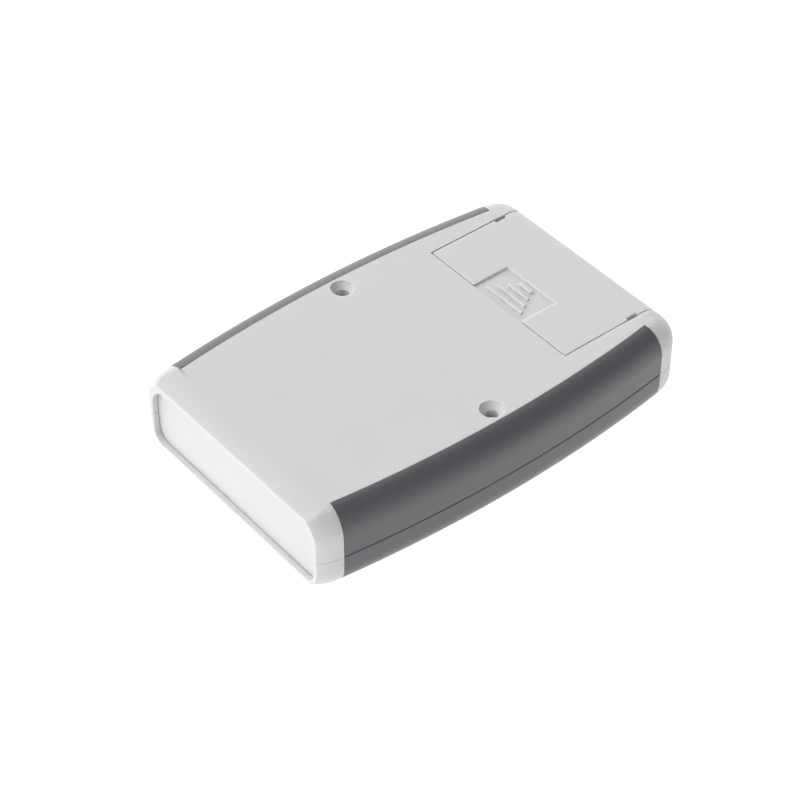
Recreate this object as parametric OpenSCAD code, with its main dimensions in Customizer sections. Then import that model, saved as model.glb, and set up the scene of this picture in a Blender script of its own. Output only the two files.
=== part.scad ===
// Handheld instrument enclosure with soft side grips, a slide-in end panel
// and a battery door that slides off the rear. It lies on its front face.

/* [Body] */
// Length over the two ends
body_l = 117; // [114:1:126]
// Width across the grips at the middle
body_w = 79; // [76:1:86]
// Thickness from the front face to the rear face
body_h = 24; // [23.5:0.5:28]
// Height of the line where the two shells part
parting_z = 11.2; // [10.8:0.2:11.6]
// Wall of both shells
wall = 2.4; // [2.2:0.1:2.5]
// Radius of the bowed long sides, seen from above
bow_r = 390; // [350:10:460]
// Where the grips and screws sit along the case, from its middle
mid_x = -0.9; // [-1.4:0.1:0]
// Corner radius at the battery end, seen from above
end_corner_r = 8; // [7.8:0.1:8.6]
// Corner radius at the panel end, cut off by the flat rim
rim_corner_r = 11; // [10:0.5:12]
// How far the panel end corners are set in from the rim
rim_corner_in = 6.7; // [6.5:0.1:7.5]

/* [Edges] */
// Width of the rolled edge round the rear face
roll_w = 6; // [5.4:0.1:6.1]
// Height of the rolled edge round the rear face
roll_h = 7.2; // [6.4:0.1:8]
// Radius round the front face
front_edge_r = 7.2; // [6.6:0.1:7.4]
// Radius of the slow roll of the rear face down to the panel end
rim_roll_r = 20; // [18:1:24]
// Length of that roll
rim_roll_l = 7; // [6:0.5:8]
// Radius where the front face rolls up to the panel end
rim_edge_r = 3; // [2:0.5:3.5]

/* [Grips] */
// Thickness of the soft layer
grip_t = 1; // [0.8:0.1:1.2]
// Width of the grip seen from above, at the rear face
grip_in = 6.2; // [6.1:0.1:6.6]
// Width of the grip under the front face
grip_under = 7.6; // [7.5:0.1:8]
// Half of the angle that a grip covers along the bowed side
grip_angle = 7.5; // [7:0.05:7.6]

/* [Screws] */
// Distance from the middle line to each screw
screw_y = 29.3; // [29:0.1:29.6]
// Clearance hole through the rear shell
screw_hole_d = 3.3; // [3:0.1:3.6]
// Countersink at the rear face
screw_head_d = 6.2; // [5.6:0.1:6.4]
// Straight lip above the countersink
screw_head_lip = 0.5; // [0.3:0.1:0.7]
// Pilot hole in the front shell
screw_pilot_d = 2.5; // [2.2:0.1:2.7]
// Outside of the screw pillars
pillar_d = 7.4; // [7:0.1:8]

/* [End panel] */
// Thickness of the panel
panel_t = 2; // [1.6:0.1:2.4]
// Recess from the rim to the face of the panel
panel_in = 1.8; // [1.4:0.1:2]
// Half of the width of the panel
panel_half_w = 33.1; // [32.6:0.1:33.4]
// Radius of the panel's upper corners
panel_top_r = 7; // [6:0.5:9]
// Radius of the panel's lower corners
panel_low_r = 4; // [3:0.5:5]
// How far the rim overlaps the panel
panel_lap = 0.5; // [0.4:0.1:0.8]
// Wall behind the panel
panel_rib_t = 1.2; // [1:0.1:1.6]
// Play of the panel in its slot
panel_play = 0.1; // [0.05:0.05:0.15]

/* [Battery door] */
// Where the door starts, from the battery end
door_l = 32.8; // [31.6:0.2:33.2]
// Width of the door opening
door_w = 52.4; // [52:0.2:53]
// Thickness of the door
door_t = 1.8; // [1.6:0.1:2]
// Gap round the door
door_gap = 0.35; // [0.3:0.05:0.5]
// Height of the lower edge of the door on the battery end
door_skirt_z = 14.8; // [14.6:0.2:15.6]
// Length of the thumb recess
thumb_l = 11.4; // [10:0.2:13]
// Width of the thumb recess
thumb_w = 18.4; // [16:0.2:21]
// Depth of the thumb recess
thumb_depth = 0.7; // [0.5:0.1:0.8]
// Number of thumb ribs
thumb_ribs = 4; // [3:1:5]
// Length of the small notches in the door's side seams
seam_notch_l = 3.4; // [2.6:0.2:4]
// Depth of the seam notches
seam_notch_w = 0.8; // [0.6:0.1:1]
// Distance of the seam notches from the battery end
seam_notch_x = 9.4; // [8.8:0.2:10]
// Width of the rails that hold the door down
rail_w = 0.9; // [0.7:0.1:1]
// Thickness of the rails
rail_t = 1.1; // [0.9:0.1:1.2]

/* [Battery bay] */
// Diameter of one cell
cell_d = 14.5; // [14.2:0.1:14.6]
// Length of one cell
cell_l = 50.5; // [49:0.5:50.5]
// Play of the cells in the bay
cell_play = 0.4; // [0.3:0.1:0.5]
// Wall of the bay
bay_wall = 1.5; // [1.3:0.1:1.7]
// Space between the bay and the end wall
bay_play = 1.1; // [1:0.1:1.3]
// Thickness of the contact plates
contact_t = 0.4; // [0.3:0.05:0.5]
// Wire of the contact springs
spring_wire_d = 0.7; // [0.6:0.1:0.8]
// Turns of the contact springs
spring_turns = 3; // [3:1:4]

/* [Inside] */
// Height of the tongue that lines up the shells
tongue_h = 3; // [2.4:0.2:3.4]
// Thickness of the tongue
tongue_t = 0.6; // [0.5:0.1:0.7]
// Play of the tongue and pillars
fit_play = 0.1; // [0.05:0.05:0.15]
// Height of the circuit board posts above the floor
post_h = 4; // [3:0.5:5]
// Diameter of the circuit board posts
post_d = 5; // [4.5:0.5:6]
// Pilot hole in the circuit board posts
post_hole_d = 2.1; // [1.8:0.1:2.3]

/* [Hidden] */
$fn = 64;
bow_fn = 720;
eps = 0.01;
shell_colour = "#d5d5d3";
grip_colour = "#4b4b4e";
metal_colour = "#c9c6bd";

end_x = body_l / 2;
rim_x = -body_l / 2;
bow_y = body_w / 2 - bow_r;

slab_in = body_w + 10;
slab_angle = 14;
blend = 0.02;
past = 4;
roll_step = 10;
front_step = 15;

// Corner centres lie where a corner arc meets the bowed side smoothly
end_corner = [end_x - end_corner_r, corner_y(end_x - end_corner_r, end_corner_r)];
rim_corner = [rim_x + rim_corner_in, corner_y(rim_x + rim_corner_in, rim_corner_r)];
end_angle = asin((end_corner[0] - mid_x) / (bow_r - end_corner_r));
rim_angle = asin((mid_x - rim_corner[0]) / (bow_r - rim_corner_r));

rim_roll_angle = asin(rim_roll_l / rim_roll_r);

panel_lift = 0.4;
panel_rise = 0.2;
panel_x = rim_x + panel_in;
panel_z0 = wall - panel_lap + panel_lift;
panel_z1 = body_h - wall + panel_rise;
hollow_x = panel_x + panel_t + panel_play + panel_rib_t;

rail_start = 3;
rail_end = 10;
rail_drop = 0.6;
groove_wall = 0.9;
door_x = end_x - door_l;
door_half = door_w / 2;
rear_in_z = body_h - wall;
door_side = door_half - door_gap;
cell_count = 2;
bay_lift = 2.2;
bay_end_rise = 5;
bay_x1 = end_x - wall - bay_play - bay_wall;
bay_x0 = bay_x1 - cell_count * cell_d - cell_play;
bay_half = door_half;
bay_side_wall = rail_w + door_gap + groove_wall;
bay_end_z = door_skirt_z + bay_end_rise;
bay_z0 = wall + bay_lift + bay_wall;
rail_z0 = body_h - door_t - rail_t - rail_drop;
rail_x0 = door_x + rail_start;
rail_x1 = end_x - rail_end;
hook_l = 1.2;
hook_x = max(bay_x0 + door_gap, door_x - hook_l);
hook_half = 6;
hook_t = 1;
arc_steps = 6;
post_y = 24;
post_in = 8;
rib_x0 = 2;
rib_t = 0.9;
rib_pitch = 2.4;
rib_low = 0.05;
rib_end = 2.5;
rib_taper = thumb_ribs + 0.5;
contact_h = 11;
contact_w = 10;
tab_w = 4;
tab_l = 3;
cell_x = [for (i = [0:cell_count - 1]) bay_x0 + cell_play / 2 + cell_d * (i + 0.5)];
cell_z = bay_z0 + cell_d / 2 + cell_play / 2;
spring_press = 2.6;
spring_l = bay_half - contact_t - cell_l / 2 + spring_press;
spring_base_r = 4;
spring_tip_r = 2.2;
spring_sides = 6;
spring_steps = 14 * spring_turns;
stud_d = 5;
stud_tip_d = 3.6;
stud_h = 0.8;

function corner_y(x, r) = bow_y + sqrt(pow(bow_r - r, 2) - pow(x - mid_x, 2));

// Section of the rear edge, set in by t: [distance in from the outline, height]. It is
// a quarter of an ellipse.
function rear_edge(t) = [for (a = [0:roll_step:90]) let (
    normal = [cos(a) / roll_w, sin(a) / roll_h],
    shift = t / norm(normal) * normal
) [
    roll_w * (1 - cos(a)) + shift[0],
    body_h - roll_h * (1 - sin(a)) - shift[1]
]];

// Section of the front edge, set in by t
function front_edge(t) = [for (a = [0:front_step:90]) [
    front_edge_r - (front_edge_r - t) * cos(a),
    front_edge_r - (front_edge_r - t) * sin(a)
]];

function from_end(section) = [for (p = section) [end_x - p[0], p[1]]];

function reversed(list) = [for (i = [len(list) - 1:-1:0]) list[i]];

// Side view of the battery end, from x0 on and opened past the flat face so that only
// the end is cut. up is 1 for the rear shell and -1 for the front shell.
function end_view(edge, x0, up) = let (
    last = edge[len(edge) - 1],
    beyond = (1 + up) * body_h / 2 + up * past
) concat(
    [[x0, beyond], [end_x - last[0], beyond]],
    reversed([for (p = edge) [end_x - p[0], p[1] + up * blend]]),
    [[end_x - edge[0][0], behind(up)]]
);

// A height that lies beyond a shell on its parting side
function behind(up) = (1 - up) * body_h / 2 - up;

// A section swept along the left side, through an angle each way from its middle
module side_sweep(section, angle) {
    translate([mid_x, bow_y, 0])
        rotate([0, 0, 90 - angle])
            rotate_extrude(angle = 2 * angle, $fn = bow_fn)
                polygon([for (p = section) [bow_r - p[0], p[1]]]);
}

// An outline in side view, carried straight across the body
module across(half, points) {
    translate([0, half, 0])
        rotate([90, 0, 0])
            linear_extrude(2 * half)
                polygon(points);
}

// What lies inside both bowed sides, below a rear edge or above a front edge
module bowed_slab(edge, z0) {
    z1 = edge[len(edge) - 1][1];
    section = concat([[edge[0][0], z0]], edge, [[slab_in, z1], [slab_in, z0]]);
    intersection_for (s = [0, 1])
        mirror([0, s, 0])
            side_sweep(section, slab_angle);
}

// The sharp meeting of a side and an end, seen from a corner's centre
module corner_plan(centre, r, from, to) {
    reach = 3 * r;
    translate(centre)
        polygon([
            [0, 0], reach * [cos(from), sin(from)],
            reach * [cos(from) + cos(to), sin(from) + sin(to)], reach * [cos(to), sin(to)]
        ]);
}

module corner_wedge(centre, r, from, to) {
    translate([0, 0, -body_h])
        linear_extrude(3 * body_h)
            corner_plan(centre, r, from, to);
}

// The round corner that takes its place
module corner_round(edge, z0, centre, r) {
    last = edge[len(edge) - 1];
    translate([centre[0], centre[1], 0])
        rotate_extrude($fn = 96)
            polygon(concat(
                [[0, z0], [r - edge[0][0], z0]],
                [for (p = edge) [r - p[0], p[1]]], [[0, last[1]]]
            ));
}

module both_sides() {
    for (s = [0, 1])
        mirror([0, s, 0])
            children();
}

// Rounds the two corners at the battery end
module end_corners(corner_edge, z0) {
    difference() {
        children();
        both_sides()
            corner_wedge(end_corner, end_corner_r, 0, 90 - end_angle);
    }
    both_sides()
        corner_round(corner_edge, z0, end_corner, end_corner_r);
}

// One shell before it is hollowed, inside a side view of its ends. It starts at z0, past
// the parting line, and is cut off there later.
module shell_body(edge, corner_edge, z0) {
    end_corners(corner_edge, z0)
        intersection() {
            union() {
                difference() {
                    bowed_slab(edge, z0);
                    both_sides()
                        corner_wedge(rim_corner, rim_corner_r, 90 + rim_angle, 180);
                }
                both_sides()
                    corner_round(corner_edge, z0, rim_corner, rim_corner_r);
            }
            children();
        }
}

function arc(c, r, from, to) = [for (i = [0:arc_steps]) let (
    a = from + (to - from) * i / arc_steps
) c + r * [cos(a), sin(a)]];

// Outline of the end panel, grown by g, across [y, z]
module panel_outline(g) {
    half = panel_half_w + g;
    z0 = panel_z0 - g;
    z1 = panel_z1 + g;
    top_r = panel_top_r + g;
    low_r = panel_low_r + g;
    polygon(concat(
        arc([half - top_r, z1 - top_r], top_r, 0, 90),
        arc([top_r - half, z1 - top_r], top_r, 90, 180),
        arc([low_r - half, z0 + low_r], low_r, 180, 270),
        arc([half - low_r, z0 + low_r], low_r, 270, 360)
    ));
}

module along_x(x0, x1) {
    translate([x0, 0, 0])
        rotate([90, 0, 90])
            linear_extrude(x1 - x0)
                children();
}

module box(x0, x1, half, z0, z1) {
    translate([x0, -half, z0])
        cube([x1 - x0, 2 * half, z1 - z0]);
}

// Plan of the hollow, set in by t from the sides and the battery end
module plan(t) {
    difference() {
        intersection() {
            translate([mid_x, bow_y])
                circle(bow_r - t, $fn = bow_fn);
            translate([mid_x, -bow_y])
                circle(bow_r - t, $fn = bow_fn);
            translate([hollow_x, -body_w])
                square([end_x - t - hollow_x, 2 * body_w]);
        }
        both_sides()
            corner_plan(end_corner, end_corner_r, 0, 90 - end_angle);
    }
    both_sides()
        translate(end_corner)
            circle(end_corner_r - t);
}

module panel_cuts() {
    along_x(rim_x - 1, panel_x)
        panel_outline(-panel_lap);
    along_x(panel_x - panel_play, panel_x + panel_t + panel_play)
        panel_outline(panel_play);
    along_x(panel_x + panel_t, hollow_x + 1)
        panel_outline(-panel_lap);
}

module at_screws() {
    for (s = [-1, 1])
        translate([mid_x, s * screw_y, 0])
            children();
}

// The tub that the cells lie in, open at the rear
module bay_tub() {
    difference() {
        box(
            bay_x0 - bay_wall, bay_x1 + bay_wall, bay_half + bay_side_wall,
            bay_z0 - bay_wall, rear_in_z + eps
        );
        box(bay_x0, bay_x1, bay_half, bay_z0, body_h);
        both_sides()
            for (x = cell_x)
                translate([x - tab_w / 2 - fit_play, bay_half - contact_t - fit_play, bay_z0 - 2 * bay_wall])
                    cube([tab_w + 2 * fit_play, contact_t + 2 * fit_play, 3 * bay_wall]);
    }
}

// Everything that is cut away for the battery door and its rails
module door_cuts() {
    box(door_x, end_x + 1, door_half, rear_in_z - eps, body_h + 1);
    box(bay_x1 + bay_wall, end_x + 1, door_half, door_skirt_z - door_gap, body_h + 1);
    box(bay_x1 - 1, end_x + 1, door_half, bay_end_z, body_h + 1);
    box(
        rail_x0 - door_gap, end_x + 1, door_side + rail_w + door_gap,
        rail_z0 - door_gap, rail_z0 + rail_t + door_gap
    );
}

module screw_cut() {
    cone_h = (screw_head_d - screw_hole_d) / 2;
    translate([0, 0, parting_z - 1])
        cylinder(d = screw_hole_d, h = body_h);
    translate([0, 0, body_h - screw_head_lip - cone_h])
        cylinder(d1 = screw_hole_d, d2 = screw_head_d, h = cone_h);
    translate([0, 0, body_h - screw_head_lip])
        cylinder(d = screw_head_d, h = screw_head_lip + 1);
}

module rear_body() {
    shell_body(rear_edge(0), rear_edge(blend), parting_z - 1)
        across(body_w, concat(
            arc([rim_x + rim_roll_l, body_h - rim_roll_r + blend], rim_roll_r, 90 + rim_roll_angle, 90),
            end_view(rear_edge(0), rim_x + rim_roll_l, 1), [[rim_x, behind(1)]]
        ));
}

module front_body() {
    shell_body(front_edge(0), front_edge(blend), parting_z + 1)
        across(body_w, concat(
            arc([rim_x + rim_edge_r, rim_edge_r - blend], rim_edge_r, 180, 270),
            end_view(front_edge(0), hollow_x, -1), [[rim_x, behind(-1)]]
        ));
}

// The hollow of one shell, from behind the panel to the battery end
module hollow(edge, corner_edge, open_z, up) {
    end_corners(corner_edge, open_z)
        intersection() {
            bowed_slab(edge, open_z);
            across(body_w, concat(end_view(edge, hollow_x, up), [[hollow_x, behind(up)]]));
        }
}

module rear_shell() {
    color(shell_colour)
    difference() {
        union() {
            difference() {
                rear_body();
                hollow(rear_edge(wall), rear_edge(wall + blend), parting_z - 2, 1);
                box(rim_x - 1, end_x + 1, body_w, -1, parting_z);
            }
            bay_tub();
            at_screws()
                translate([0, 0, parting_z])
                    cylinder(d = pillar_d, h = rear_in_z - parting_z + eps);
        }
        panel_cuts();
        door_cuts();
        tongue_ring(tongue_h + fit_play, wall - tongue_t - fit_play, wall + fit_play);
        both_sides()
            side_sweep(grip_recess(rear_edge(grip_t), grip_in, body_h, 1), grip_angle);
        at_screws()
            screw_cut();
    }
}

// The lip inside the parting line, or the rebate that takes it
module tongue_ring(h, outer, inner) {
    translate([0, 0, parting_z - 1])
        linear_extrude(h + 1)
            difference() {
                plan(outer);
                plan(inner);
            }
}

module at_posts() {
    for (x = [hollow_x + post_in, bay_x0 - post_in], s = [-1, 1])
        translate([x, s * post_y, wall])
            children();
}

module front_shell() {
    color(shell_colour)
    difference() {
        union() {
            difference() {
                front_body();
                hollow(front_edge(wall), front_edge(wall + blend), parting_z + 2, -1);
                box(rim_x - 1, end_x + 1, body_w, parting_z, body_h);
            }
            intersection() {
                tongue_ring(tongue_h, wall - tongue_t, wall - fit_play / 2);
                box(hollow_x + 1, end_x, body_w, 0, body_h);
            }
            at_screws()
                translate([0, 0, wall - eps])
                    cylinder(d = pillar_d, h = parting_z - wall + eps);
            at_posts()
                translate([0, 0, -eps])
                    cylinder(d = post_d, h = post_h + eps);
        }
        panel_cuts();
        both_sides()
            side_sweep(grip_recess(front_edge(grip_t), grip_under, 0, -1), grip_angle);
        at_screws()
            translate([0, 0, wall])
                cylinder(d = screw_pilot_d, h = parting_z);
        at_posts()
            cylinder(d = post_hole_d, h = post_h + 1);
    }
}

// Section of the soft layer between the edge and the same edge set in by its thickness
function grip_section(outer, inner, width, face_z, up) = concat(
    [[0, parting_z]], outer,
    [[width, face_z], [width, face_z - up * grip_t]],
    reversed(inner), [[grip_t, parting_z]]
);

// The same layer opened outwards, to cut its place in the shell
function grip_recess(inner, width, face_z, up) = concat(
    [[-1, parting_z - up], [-1, face_z + up], [width, face_z + up], [width, face_z - up * grip_t]],
    reversed(inner), [[grip_t, parting_z - up]]
);

module rear_grip() {
    color(grip_colour)
        side_sweep(grip_section(rear_edge(0), rear_edge(grip_t), grip_in, body_h, 1), grip_angle);
}

module front_grip() {
    color(grip_colour)
        side_sweep(grip_section(front_edge(0), front_edge(grip_t), grip_under, 0, -1), grip_angle);
}

module rear_grip_left() { rear_grip(); }
module rear_grip_right() { mirror([0, 1, 0]) rear_grip(); }
module front_grip_left() { front_grip(); }
module front_grip_right() { mirror([0, 1, 0]) front_grip(); }

module end_panel() {
    color(shell_colour)
        along_x(panel_x, panel_x + panel_t)
            panel_outline(0);
}

// The door: a lid that rolls over the battery end, with two rails and a hook under it
module battery_door() {
    front_x = door_x + door_gap;
    hook_z = rear_in_z - door_gap;
    notch_x = end_x - seam_notch_x - seam_notch_l / 2;
    skin = concat(
        [[0, parting_z]], rear_edge(0),
        [[end_x - front_x, body_h], [end_x - front_x, body_h - door_t]],
        reversed(rear_edge(door_t)), [[door_t, parting_z]]
    );
    color(shell_colour)
    difference() {
        union() {
            across(door_side, from_end(skin));
            both_sides() {
                translate([rail_x0, door_side - bay_wall, rail_z0])
                    cube([rail_x1 - rail_x0, bay_wall, body_h - door_t - rail_z0 + eps]);
                translate([rail_x0, door_side - eps, rail_z0])
                    cube([rail_x1 - rail_x0, rail_w + eps, rail_t]);
            }
            box(hook_x, front_x + hook_t, hook_half, hook_z - hook_t, hook_z);
            box(front_x, front_x + hook_t, hook_half, hook_z - hook_t, body_h - door_t + eps);
        }
        box(end_x - wall, end_x + 1, door_half, parting_z - 1, door_skirt_z);
        box(front_x - 1, front_x + thumb_l, thumb_w / 2, body_h - thumb_depth, body_h + 1);
        both_sides()
            translate([notch_x, door_side - seam_notch_w, body_h - door_t - 1])
                cube([seam_notch_l, seam_notch_w + 1, door_t + 2]);
    }
    color(shell_colour)
        for (i = [0:thumb_ribs - 1], x = front_x + rib_x0 + i * rib_pitch)
            box(
                x, x + rib_t,
                (thumb_w / 2 - rib_end) * (1 - i / rib_taper), body_h - door_t / 2, body_h - rib_low
            );
}

// A contact plate on the left wall of the bay, with a tab down through the floor
module contact_plate(x0, x1, tabs) {
    translate([x0, bay_half - contact_t, bay_z0])
        cube([x1 - x0, contact_t, contact_h]);
    for (x = tabs)
        translate([x - tab_w / 2, bay_half - contact_t, bay_z0 - tab_l])
            cube([tab_w, contact_t, tab_l + eps]);
}

// The raised stud that meets the button end of a cell
module contact_stud(x) {
    translate([x, bay_half - contact_t + eps, cell_z])
        rotate([90, 0, 0])
            cylinder(d1 = stud_d, d2 = stud_tip_d, h = stud_h);
}

// A coil that tapers from the plate to the flat end of a cell
module contact_spring(x) {
    last = spring_sides - 1;
    points = [for (i = [0:spring_steps], k = [0:last]) let (
        done = i / spring_steps,
        turn = 360 * spring_turns * done,
        round = 360 * k / spring_sides,
        coil_r = spring_base_r + (spring_tip_r - spring_base_r) * done,
        r = coil_r + spring_wire_d / 2 * cos(round),
        rise = spring_l * done + spring_wire_d / 2 * sin(round)
    ) [r * cos(turn), -rise, r * sin(turn)]];
    skin = [for (i = [0:spring_steps - 1], k = [0:last]) let (
        here = i * spring_sides,
        next = (k + 1) % spring_sides
    ) [here + k, here + next, here + spring_sides + next, here + spring_sides + k]];
    ends = [[for (k = [last:-1:0]) k], [for (k = [0:last]) spring_steps * spring_sides + k]];
    translate([x, bay_half - contact_t - spring_wire_d / 4, cell_z])
        polyhedron(points, concat(skin, ends));
}

module contact_negative() {
    color(metal_colour) {
        contact_plate(cell_x[0] - contact_w / 2, cell_x[0] + contact_w / 2, [cell_x[0]]);
        contact_spring(cell_x[0]);
    }
}

module contact_positive() {
    last = cell_x[cell_count - 1];
    color(metal_colour) {
        contact_plate(last - contact_w / 2, last + contact_w / 2, [last]);
        contact_stud(last);
    }
}

module contact_bridge() {
    last = cell_x[cell_count - 1];
    color(metal_colour)
        mirror([0, 1, 0]) {
            contact_plate(cell_x[0] - contact_w / 2, last + contact_w / 2, cell_x);
            contact_stud(cell_x[0]);
            contact_spring(last);
        }
}

rear_shell();
front_shell();
rear_grip_left();
rear_grip_right();
front_grip_left();
front_grip_right();
end_panel();
battery_door();
contact_negative();
contact_positive();
contact_bridge();
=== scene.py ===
# A handheld instrument case, lying on its front face with its battery side up.
import math

import bmesh
import bpy
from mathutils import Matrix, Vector
from mathutils.bvhtree import BVHTree


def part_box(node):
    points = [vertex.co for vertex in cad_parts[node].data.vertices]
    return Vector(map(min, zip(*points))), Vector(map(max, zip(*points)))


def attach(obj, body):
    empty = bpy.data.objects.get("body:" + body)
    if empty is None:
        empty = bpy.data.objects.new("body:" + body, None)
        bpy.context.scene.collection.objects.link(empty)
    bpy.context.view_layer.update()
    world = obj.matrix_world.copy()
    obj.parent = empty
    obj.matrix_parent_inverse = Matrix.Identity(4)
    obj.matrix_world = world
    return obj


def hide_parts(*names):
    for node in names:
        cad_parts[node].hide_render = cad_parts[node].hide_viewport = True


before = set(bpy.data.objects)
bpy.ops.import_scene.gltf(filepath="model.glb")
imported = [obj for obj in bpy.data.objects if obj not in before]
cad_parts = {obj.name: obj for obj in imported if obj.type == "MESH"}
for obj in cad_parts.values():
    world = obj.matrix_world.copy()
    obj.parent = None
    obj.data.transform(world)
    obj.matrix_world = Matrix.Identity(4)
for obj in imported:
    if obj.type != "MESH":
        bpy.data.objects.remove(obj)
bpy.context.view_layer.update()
scene = bpy.context.scene
scene.view_settings.view_transform = "Standard"

# Camera: the photograph looks down on the case over its right side, from the panel
# end, through a long lens. Its place and lens were fitted to the case's outline.
photo_px = 800
focal_px = 2436.2
view_azimuth = -39.064
view_elevation = 42.587
camera_mm = Vector((-290.72, -351.14, 424.45))
lens = bpy.data.cameras.new("photo_lens")
lens.sensor_width = 36
lens.lens = lens.sensor_width * focal_px / photo_px
lens.clip_start = 0.01
camera = bpy.data.objects.new("photo_camera", lens)
camera.location = camera_mm / 1000
camera.rotation_euler = (math.radians(90 - view_elevation), 0, math.radians(view_azimuth))
scene.collection.objects.link(camera)
scene.camera = camera


# Floor: a sheet of opal acrylic, lit from below as a light table is. It gives the case
# a bright lower side, and its own light all but washes out the shadow on it.
def linear(hex_colour):
    """An sRGB hex colour as the linear RGBA that a shader takes."""
    parts = [int(hex_colour[i : i + 2], 16) / 255 for i in (1, 3, 5)]
    return [p / 12.92 if p <= 0.04045 else ((p + 0.055) / 1.055) ** 2.4 for p in parts] + [1]


def add_node(tree, kind, links=(), **settings):
    """Adds a shader node. settings are its properties or inputs, and links its linked inputs."""
    node = tree.nodes.new(kind)
    for name, value in settings.items():
        if hasattr(node, name):
            setattr(node, name, value)
        else:
            node.inputs[name.replace("_", " ")].default_value = value
    for socket, source in dict(links).items():
        tree.links.new(source, node.inputs[socket])
    return node


def new_material(name):
    """A new material and its node tree, still empty."""
    material = bpy.data.materials.new(name)
    material.use_nodes = True
    material.node_tree.nodes.clear()
    return material, material.node_tree


floor_radius = 4.0
floor_bm = bmesh.new()
bmesh.ops.create_circle(floor_bm, cap_ends=True, segments=96, radius=floor_radius)
floor_mesh = bpy.data.meshes.new("white_table")
floor_bm.to_mesh(floor_mesh)
floor_bm.free()
table, tree = new_material("opal_acrylic_light_table")
sheet = add_node(
    tree,
    "ShaderNodeBsdfPrincipled",
    Base_Color=linear("#9a9a9a"),
    Roughness=0.8,
    Emission_Color=linear("#ffffff"),
    Emission_Strength=0.97,
)
add_node(tree, "ShaderNodeOutputMaterial", {"Surface": sheet.outputs["BSDF"]})
floor_mesh.materials.append(table)
floor = bpy.data.objects.new("white_table", floor_mesh)
scene.collection.objects.link(floor)

# Light: a soft white tent, brightest high up on the far side. Its dark opening overhead
# leaves the near shoulder of the case darker, and a dimmer patch low on its far wall
# keeps the far side of the case from going white.
tent_mean = 1.09
tent_slope = Vector((0.12, 1.06, 1.59))
# For each patch: its direction, the cosines at its rim and core, and how dark its core is.
opening = (Vector((0.417, -0.152, 0.896)), 0.53, 0.97, 2.89)
far_wall = (Vector((-0.25, 0.95, 0.17)), 0.6, 1.0, 1.3)
world = bpy.data.worlds.new("soft_tent")
world.use_nodes = True
tree = world.node_tree
tree.nodes.clear()
direction = add_node(tree, "ShaderNodeTexCoord").outputs["Generated"]
slope = add_node(tree, "ShaderNodeVectorMath", {0: direction}, operation="DOT_PRODUCT")
slope.inputs[1].default_value = tent_slope
glow = add_node(tree, "ShaderNodeMath", {0: slope.outputs["Value"]}, operation="ADD")
glow.inputs[1].default_value = tent_mean
for towards, rim, core, depth in (opening, far_wall):
    facing = add_node(tree, "ShaderNodeVectorMath", {0: direction}, operation="DOT_PRODUCT")
    facing.inputs[1].default_value = towards
    patch = add_node(
        tree,
        "ShaderNodeMapRange",
        {"Value": facing.outputs["Value"]},
        interpolation_type="SMOOTHSTEP",
        From_Min=rim,
        From_Max=core,
        To_Max=depth,
    )
    glow = add_node(
        tree,
        "ShaderNodeMath",
        {0: glow.outputs["Value"], 1: patch.outputs["Result"]},
        operation="SUBTRACT",
    )
lit = add_node(tree, "ShaderNodeMath", {0: glow.outputs["Value"]}, operation="MAXIMUM")
lit.inputs[1].default_value = 0.0
tent = add_node(
    tree, "ShaderNodeBackground", {"Strength": lit.outputs["Value"]}, Color=linear("#ffffff")
)
add_node(tree, "ShaderNodeOutputWorld", {"Surface": tent.outputs["Background"]})
scene.world = world

# Front shell: the shallow half that the case lies on, with the tongue, screw pillars
# and board posts inside. Injection-moulded ABS, held by two screws from the rear.
seam_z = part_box("front_grip_left")[1][2]
panel_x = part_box("end_panel")[0][0]
weld = 2.5e-5
flat = math.radians(0.1)
cut_pitch = 0.006
hairline = 4e-5
seam_reach = 1e-5
panel_reach = 2e-4
speck = 1e-6


def narrow(edge):
    """The width of the narrower of an edge's two faces, taken as strips."""
    widths = [2 * face.calc_area() / max(face.calc_perimeter(), 1e-9) for face in edge.link_faces]
    return min(widths, default=0)


def on_seam(edge):
    """Whether an edge lies in the parting plane of the two shells."""
    return max(abs(vert.co.z - seam_z) for vert in edge.verts) < seam_reach


def at_panel(edge):
    """Whether an edge lies by the end panel's outer face, where the rim stays crisp."""
    return max(abs(vert.co.x - panel_x) for vert in edge.verts) <= panel_reach


def outer(edge):
    """Whether an edge of the seam bounds the outside of the case."""
    middle = (edge.verts[0].co + edge.verts[1].co) / 2
    return edge.is_convex and max(face.normal.xy.dot(middle.xy) for face in edge.link_faces) > 0


def cut_up(bm):
    """Cuts all faces along a grid, clear of their vertices, so that none is a long thin ring."""
    shifts = [part / 40 for part in range(-12, 13)]
    for axis in (0, 1):
        across = Vector((1 - axis, axis, 0))
        taken = sorted({round(vert.co[axis], 6) for vert in bm.verts})
        for step in range(1, int((taken[-1] - taken[0]) / cut_pitch)):
            spots = [taken[0] + cut_pitch * (step + shift) for shift in shifts]
            clear = max(spots, key=lambda spot: min(abs(spot - other) for other in taken))
            everything = bm.verts[:] + bm.edges[:] + bm.faces[:]
            bmesh.ops.bisect_plane(
                bm, geom=everything, dist=1e-7, plane_co=across * clear, plane_no=across
            )


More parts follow.
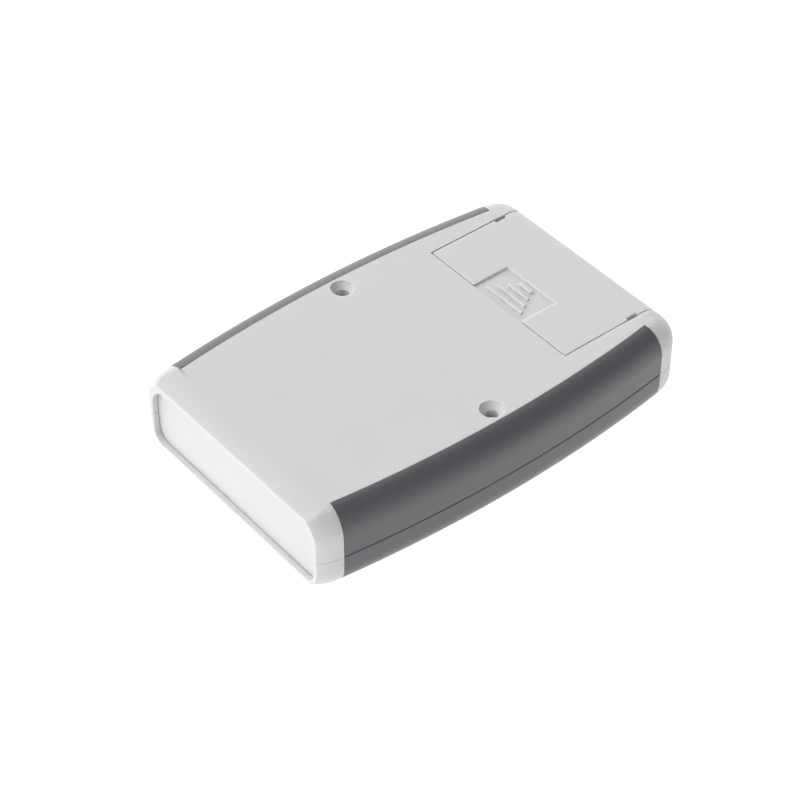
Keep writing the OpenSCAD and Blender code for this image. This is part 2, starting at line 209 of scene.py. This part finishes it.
def round_edges(bm, radius, sharp, at_seam=False):
    """Rounds the sharp edges between full faces: the seam's outer ones, or all that lie off it."""
    shape = BVHTree.FromBMesh(bm)
    low = [min(vert.co[axis] for vert in bm.verts) for axis in range(3)]
    high = [max(vert.co[axis] for vert in bm.verts) for axis in range(3)]
    room = 1.5 * radius
    edges = [
        edge
        for edge in bm.edges
        if edge.calc_face_angle(0) > sharp
        if edge.calc_length() > room and narrow(edge) > room
        if not at_panel(edge)
        if on_seam(edge) == at_seam and (outer(edge) or not at_seam)
    ]
    bmesh.ops.bevel(
        bm,
        geom=edges,
        offset=radius,
        offset_type="OFFSET",
        segments=2,
        profile=0.5,
        affect="EDGES",
        clamp_overlap=False,
        material=-1,
    )
    for vert in bm.verts:
        nearest, normal, index, distance = shape.find_nearest(vert.co)
        if distance > radius or (vert.co - nearest).dot(normal) > speck:
            vert.co = nearest
        vert.co = [min(max(vert.co[axis], low[axis]), high[axis]) for axis in range(3)]
    bmesh.ops.dissolve_degenerate(bm, dist=speck, edges=bm.edges)


def moulded(node, body, material, edge_mm=0.15, seam_mm=0, sharp_deg=28):
    """A welded copy of a CAD node with its edges rounded, which stands for that node."""
    sharp = math.radians(sharp_deg)
    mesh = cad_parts[node].data.copy()
    mesh.materials.clear()
    mesh.materials.append(material)
    bm = bmesh.new()
    bm.from_mesh(mesh)
    bmesh.ops.remove_doubles(bm, verts=bm.verts, dist=weld)
    bmesh.ops.dissolve_limit(bm, angle_limit=flat, verts=[], edges=bm.edges)
    if edge_mm:
        cut_up(bm)
        if seam_mm:
            round_edges(bm, seam_mm / 1000, sharp, at_seam=True)
        round_edges(bm, edge_mm / 1000, sharp)
    for face in bm.faces:
        face.smooth = True
        face.material_index = 0
    for edge in bm.edges:
        edge.smooth = edge.calc_face_angle(0) < sharp or narrow(edge) < hairline
    bm.to_mesh(mesh)
    bm.free()
    piece = bpy.data.objects.new(node + "_moulding", mesh)
    scene.collection.objects.link(piece)
    even = piece.modifiers.new("even_normals", "WEIGHTED_NORMAL")
    even.keep_sharp = True
    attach(piece, body)
    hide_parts(node)


# Light grey ABS from a spark-eroded mould: an even matt surface with a fine grain, which
# lets a little light in, so that small edges look soft. The real grain is about 0.05 mm
# and would not show, so it is drawn coarser. Faint clouds vary its tone and its sheen.
grain_mm = 0.35
cloud_mm = 26
abs_plastic, tree = new_material("light_grey_abs")
place = add_node(tree, "ShaderNodeTexCoord").outputs["Object"]
grain = add_node(tree, "ShaderNodeTexNoise", {"Vector": place}, Scale=1000 / grain_mm, Detail=2.0)
texture = add_node(
    tree, "ShaderNodeBump", {"Height": grain.outputs["Fac"]}, Strength=0.25, Distance=0.00003
)
cloud = add_node(tree, "ShaderNodeTexNoise", {"Vector": place}, Scale=1000 / cloud_mm, Detail=3.0)
tint = add_node(tree, "ShaderNodeMix", {0: cloud.outputs["Fac"]}, data_type="RGBA")
tint.inputs[6].default_value = linear("#cacac9")
tint.inputs[7].default_value = linear("#d0d0cf")
polish = add_node(
    tree, "ShaderNodeMapRange", {"Value": cloud.outputs["Fac"]}, To_Min=0.46, To_Max=0.58
)
skin = add_node(
    tree,
    "ShaderNodeBsdfPrincipled",
    {
        "Base Color": tint.outputs[2],
        "Roughness": polish.outputs["Result"],
        "Normal": texture.outputs["Normal"],
    },
    IOR=1.53,
    Subsurface_Weight=1.0,
    Subsurface_Radius=(1.0, 1.0, 1.0),
    Subsurface_Scale=0.001,
)
add_node(tree, "ShaderNodeOutputMaterial", {"Surface": skin.outputs["BSDF"]})
moulded("front_shell", "case", abs_plastic, seam_mm=0.25)

# Front grips: soft dark layers moulded over the lower edges of the case. Thermoplastic
# rubber with a satin skin, which shows the tent as a soft light band and a dark one.
soft_rubber, tree = new_material("dark_grey_soft_rubber")
place = add_node(tree, "ShaderNodeTexCoord").outputs["Object"]
grain = add_node(tree, "ShaderNodeTexNoise", {"Vector": place}, Scale=1000 / grain_mm, Detail=2.0)
texture = add_node(
    tree, "ShaderNodeBump", {"Height": grain.outputs["Fac"]}, Strength=0.2, Distance=0.00003
)
cloud = add_node(tree, "ShaderNodeTexNoise", {"Vector": place}, Scale=1000 / cloud_mm, Detail=3.0)
tint = add_node(tree, "ShaderNodeMix", {0: cloud.outputs["Fac"]}, data_type="RGBA")
tint.inputs[6].default_value = linear("#56565a")
tint.inputs[7].default_value = linear("#5c5c60")
skin = add_node(
    tree,
    "ShaderNodeBsdfPrincipled",
    {"Base Color": tint.outputs[2], "Normal": texture.outputs["Normal"]},
    Roughness=0.33,
    IOR=1.5,
)
add_node(tree, "ShaderNodeOutputMaterial", {"Surface": skin.outputs["BSDF"]})
for side in ("left", "right"):
    moulded("front_grip_" + side, "case", soft_rubber, seam_mm=0.34)

# Rear shell: the deep half with the rolled edges, the countersunk screw holes and the
# battery bay. The same moulded ABS as the front, on whose tongue it sits.
moulded("rear_shell", "case", abs_plastic, seam_mm=0.25)

# Rear grips: the same soft rubber, moulded over the rear shell from the flat of its
# face over the roll and down to the parting line.
for side in ("left", "right"):
    moulded("rear_grip_" + side, "case", soft_rubber, seam_mm=0.34)

# End panel: a flat plate of the same ABS. It drops into the slots behind the rim before
# the shells are closed, and its edges stay hidden there.
moulded("end_panel", "case", abs_plastic, edge_mm=0)

# Contacts: plates and springs of nickel-plated steel, pushed into the walls of the bay.
# The plating is bright but slightly uneven, so that its reflections are blurred.
plating_mm = 0.5
nickel, tree = new_material("nickel_plated_steel")
place = add_node(tree, "ShaderNodeTexCoord").outputs["Object"]
grain = add_node(tree, "ShaderNodeTexNoise", {"Vector": place}, Scale=1000 / plating_mm, Detail=2.0)
polish = add_node(
    tree, "ShaderNodeMapRange", {"Value": grain.outputs["Fac"]}, To_Min=0.22, To_Max=0.36
)
skin = add_node(
    tree,
    "ShaderNodeBsdfPrincipled",
    {"Roughness": polish.outputs["Result"]},
    Base_Color=linear("#c9c4ba"),
    Metallic=1.0,
)
add_node(tree, "ShaderNodeOutputMaterial", {"Surface": skin.outputs["BSDF"]})
for contact in ("contact_negative", "contact_positive", "contact_bridge"):
    moulded(contact, "case", nickel, edge_mm=0, sharp_deg=62)

# Battery door: a lid of the same ABS that rolls over the battery end and slides off
# along two rails. Its thumb recess has four moulded ribs.
moulded("battery_door", "door", abs_plastic, edge_mm=0.35)
